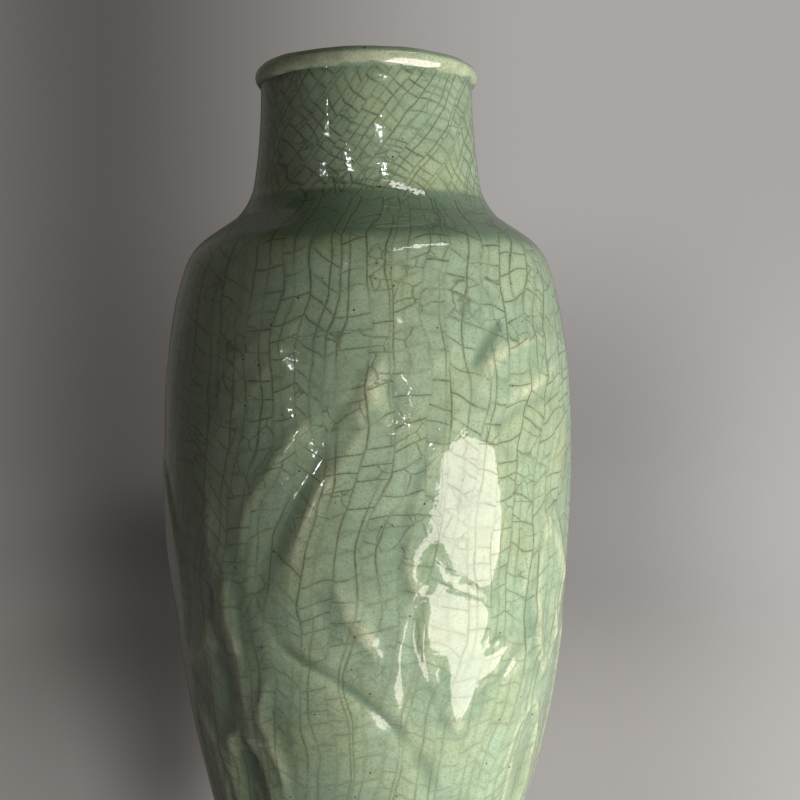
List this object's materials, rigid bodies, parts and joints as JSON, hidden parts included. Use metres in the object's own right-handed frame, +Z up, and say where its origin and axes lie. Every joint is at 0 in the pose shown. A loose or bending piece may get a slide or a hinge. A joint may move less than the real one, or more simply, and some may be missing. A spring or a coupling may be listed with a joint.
{
  "type": "cylindrical vase",
  "caption": "Tall crackle-glazed stoneware vase with a swelling body, rounded shoulder, short straight neck, rolled lip and leaves in low relief.",
  "frame": {"origin": "centre of the foot's resting face, on the vase's axis", "axes": "+Z up along the vase's axis to the mouth, -Y towards the front of the relief, +X to its right"},
  "size_m": [0.1578, 0.1586, 0.3391],
  "materials": {
    "celadon_glaze": "glossy crackled celadon glaze over stoneware",
    "bare_stoneware": "unglazed, fired red-brown"
  },
  "bodies": {
    "root": {"foot_ring": "bare_stoneware", "floor_slab": "celadon_glaze", "lower_wall": "celadon_glaze", "belly_wall": "celadon_glaze", "shoulder_wall": "celadon_glaze", "neck": "celadon_glaze", "lip_coil": "celadon_glaze", "broad_leaf_front": "celadon_glaze", "pocket_leaf_front": "celadon_glaze", "side_leaf_low_front": "celadon_glaze", "side_leaf_high_front": "celadon_glaze", "reed_leaf_front": "celadon_glaze", "slanting_leaf_front": "celadon_glaze", "upper_left_leaf_front": "celadon_glaze", "upper_right_leaf_front": "celadon_glaze", "right_leaf_front": "celadon_glaze", "right_leaf_low_front": "celadon_glaze", "small_blade_front": "celadon_glaze", "centre_leaf_high_front": "celadon_glaze", "centre_leaf_low_front": "celadon_glaze", "centre_leaf_small_front": "celadon_glaze", "bud_front": "celadon_glaze", "edge_reed_front": "celadon_glaze", "stem_front": "celadon_glaze", "broad_leaf_back": "celadon_glaze", "pocket_leaf_back": "celadon_glaze", "side_leaf_low_back": "celadon_glaze", "side_leaf_high_back": "celadon_glaze", "reed_leaf_back": "celadon_glaze", "slanting_leaf_back": "celadon_glaze", "upper_left_leaf_back": "celadon_glaze", "upper_right_leaf_back": "celadon_glaze", "right_leaf_back": "celadon_glaze", "right_leaf_low_back": "celadon_glaze", "small_blade_back": "celadon_glaze", "centre_leaf_high_back": "celadon_glaze", "centre_leaf_low_back": "celadon_glaze", "centre_leaf_small_back": "celadon_glaze", "bud_back": "celadon_glaze", "edge_reed_back": "celadon_glaze", "stem_back": "celadon_glaze"}
  },
  "joints": []
}
